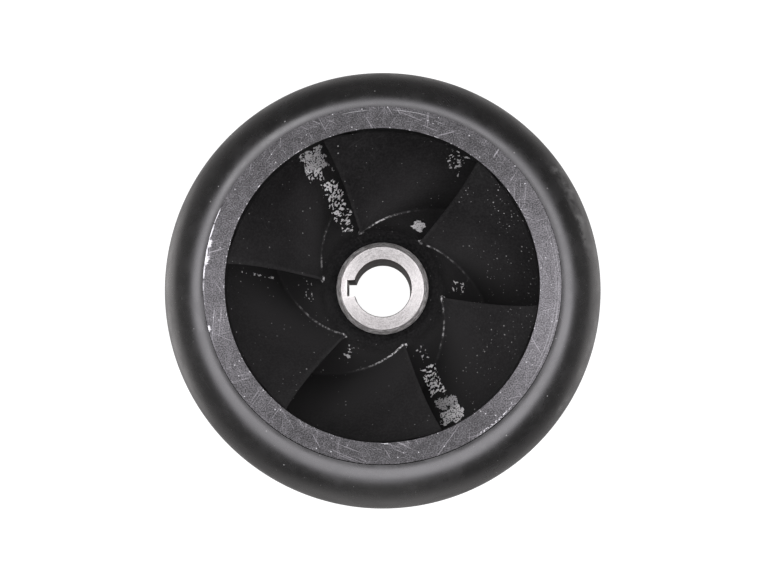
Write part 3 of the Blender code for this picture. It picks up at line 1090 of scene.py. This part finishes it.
# %% Vane section
def vane_loops(root, tip):
    """Closed loops round the vane, one column for each row from root to tip."""
    share = row_shares(np.linalg.norm(tip - root, axis=1))
    radius = root[:, :1] * (1 - share) + tip[:, :1] * share
    depth = root[:, 1:] * (1 - share) + tip[:, 1:] * share
    along = np.linspace(0.0, 1.0, STATIONS)[:, None]
    swept = VANE_WRAP * (EARLY_TURN * along + (1 - EARLY_TURN) * along ** 2)
    lag = EDGE_ROOT_LAG * (1 - share) + EDGE_TIP_LAG * share + EDGE_BOW * 4 * share * (1 - share)
    angle = -lag - swept
    nose = thickness_angle(radius, depth, angle)[0]
    angle = angle - np.interp(share, share[0], nose)
    back = angle + thickness_angle(radius, depth, angle)
    eye_side = placed(radius, depth, angle)
    far_side = placed(radius, depth, back)
    return np.concatenate([eye_side[::-1], far_side])


def round_loop(loop, corners, reach, steps=3):
    """Break the corners of each loop as short arcs."""
    made = []
    for number, here in enumerate(loop):
        if number in corners:
            after = loop[(number + 1) % len(loop)]
            made.extend(corner_arc(loop[number - 1], here, after, reach, steps))
        else:
            made.append(here)
    return np.array(made)


def loop_normals(loop):
    """The way out of the vane at each point of its loops."""
    round_it = np.roll(loop, -1, axis=0) - np.roll(loop, 1, axis=0)
    up_it = np.gradient(loop, axis=1)
    normals = np.cross(up_it, round_it)
    return normals / np.linalg.norm(normals, axis=-1, keepdims=True)


# %% [markdown]
# ## Fillets
# A moulded vane grows out of its walls in a small hollow curve. The rows nearest a wall are moved
# along that wall, away from the vane, by what a quarter circle of the fillet's size asks for.

# %% Fillets
SHORTEST_FLAT = 0.3


def wall_way(line, off_wall, places):
    """The way off a turned wall at places near it, from the nearest station by radius."""
    radius = np.hypot(places[..., 0], places[..., 1])
    parts = [np.interp(radius, line[:, 0], off_wall[:, axis]) for axis in (0, 1)]
    out = places[..., :2] / radius[..., None]
    return np.concatenate([out * parts[0][..., None], -parts[1][..., None]], -1)


def spread_feet(loop, line, off_wall, rows):
    """Spread the rows nearest a wall along it, as a fillet."""
    normals = loop_normals(loop)
    for row, height in zip(rows, FOOT_HEIGHTS):
        rise = np.clip(1 - height / FILLET, 0.0, 1.0)
        reach = FILLET * (1 - math.sqrt(1 - rise ** 2))
        way = wall_way(line, off_wall, loop[:, row])
        flat = normals[:, row] - (normals[:, row] * way).sum(-1, keepdims=True) * way
        flat /= np.maximum(np.linalg.norm(flat, axis=-1, keepdims=True), SHORTEST_FLAT)
        loop[:, row] += reach * flat
    return loop


# %% [markdown]
# ## Six vanes
# The sheet is worked out once, and each vane is the same mesh turned by a sixth of a circle. The
# painted highlight on the fillet at its foot is kept as a number on the points of the lowest rows.

# %% Vanes
EDGE_BREAK = 0.28 * MM
VANE_CORNERS = (0, STATIONS - 1, STATIONS, 2 * STATIONS - 1)
VANE_SHARP_ANGLE = 50.0
TINY_LEAN = 1e-7
ROOT_HIGHLIGHT_ROWS = slice(1, 5)
ROOT_HIGHLIGHT_SHARES = (0.7, 1.0, 1.0, 0.6)

tip_wall = np.vstack([curve(
    (EYE_RADIUS, TIP_DEPTH), (EYE_RADIUS, 4 * MM), (EYE_RADIUS, 7 * MM), (EYE_RADIUS, RING_DEPTH), 12,
)[:-1], shroud_wall])
# The stations are looked up by radius, so the upright part of the wall has to lean a little.
tip_wall[:, 0] += np.linspace(0.0, TINY_LEAN, len(tip_wall))
root_line, root_way = flow_line(hub_cone, ROOT_EXIT_RADIUS)
tip_line, tip_way = flow_line(tip_wall, TIP_EXIT_RADIUS)
loop = round_loop(vane_loops(root_line, tip_line), VANE_CORNERS, EDGE_BREAK)
rows = loop.shape[1]
foot_rows = range(len(FOOT_HEIGHTS))
head_rows = range(rows - 1, rows - 1 - len(FOOT_HEIGHTS), -1)
loop = spread_feet(loop, root_line, root_way, foot_rows)
loop = spread_feet(loop, tip_line, -tip_way, head_rows)

index = np.arange(loop.shape[0] * rows).reshape(loop.shape[0], rows)
vane_faces = quads(np.vstack([index, index[:1]])).tolist()
vane_faces.append(index[:, 0].tolist())
vane_faces.append(index[::-1, -1].tolist())
# The painted highlight at the foot, as a share on each of the lowest rows.
root_highlight_shares = np.zeros(loop.shape[:2])
root_highlight_shares[:, ROOT_HIGHLIGHT_ROWS] = ROOT_HIGHLIGHT_SHARES

for number in range(VANE_COUNT):
    turned_by = math.radians(FIRST_EDGE_ANGLE) - number * 2 * math.pi / VANE_COUNT
    spin = np.array([
        [math.cos(turned_by), -math.sin(turned_by), 0.0],
        [math.sin(turned_by), math.cos(turned_by), 0.0],
        [0.0, 0.0, 1.0],
    ])
    vane = make_piece(f"vane_blade_{number + 1}", loop @ spin.T, vane_faces, VANE_SHARP_ANGLE)
    crease = vane.data.attributes.new("crease", "FLOAT", "POINT")
    crease.data.foreach_set("value", root_highlight_shares.ravel().astype(np.float32))
    dress(vane, inside_black, f"vane_{number + 1}")

# %% [markdown]
# ## Steel sleeve
# A turned sleeve with a wide chamfer, its bore cut by one keyway from end to end. The cut is a
# Boolean with a plain bar, which is then taken away, and a Bevel breaks the new edges.

# %% Steel sleeve
SLEEVE_SEGMENTS = 240
KEY_EDGE_BREAK = 0.15 * MM
KEY_EDGE_ANGLE = 50.0

sleeve_corners = [
    (BORE_RADIUS, SLEEVE_TOP_DEPTH, 0.45 * MM),
    (SLEEVE_FACE_RADIUS, SLEEVE_TOP_DEPTH, 0.12 * MM),
    (SLEEVE_RADIUS, SLEEVE_TOP_DEPTH + SLEEVE_CHAMFER_DEPTH, 0.2 * MM),
    (SLEEVE_RADIUS, HEIGHT, 0.5 * MM),
    (BORE_RADIUS, HEIGHT, 0.5 * MM),
]
sleeve = turn("keyed_sleeve", broken_corners(sleeve_corners), SLEEVE_SEGMENTS)

bar_reach = BORE_RADIUS + KEYWAY_DEPTH
bar_corners = np.array([
    (x, y, z)
    for x in (-bar_reach, 0.0)
    for y in (-KEYWAY_WIDTH / 2, KEYWAY_WIDTH / 2)
    for z in (-0.1 * HEIGHT, 1.1 * HEIGHT)
])
bar_faces = [(0, 1, 3, 2), (4, 6, 7, 5), (0, 4, 5, 1), (2, 3, 7, 6), (0, 2, 6, 4), (1, 5, 7, 3)]
bar = make_piece("keyway_bar", bar_corners, bar_faces)
cut = sleeve.modifiers.new("keyway", "BOOLEAN")
cut.operation = "DIFFERENCE"
cut.solver = "EXACT"
cut.object = bar
broken = sleeve.modifiers.new("broken edges", "BEVEL")
broken.width = KEY_EDGE_BREAK
broken.segments = 2
broken.limit_method = "ANGLE"
broken.angle_limit = math.radians(KEY_EDGE_ANGLE)
solid = sleeve.evaluated_get(bpy.context.evaluated_depsgraph_get())
cut_mesh = bpy.data.meshes.new_from_object(solid)
sleeve.modifiers.clear()
sleeve.data = cut_mesh
cut_mesh.shade_smooth()
cut_mesh.set_sharp_from_angle(angle=math.radians(SHARP_ANGLE))
bpy.data.objects.remove(bar, do_unlink=True)
sleeve.data.materials.clear()
dress(sleeve, steel, "steel_sleeve")
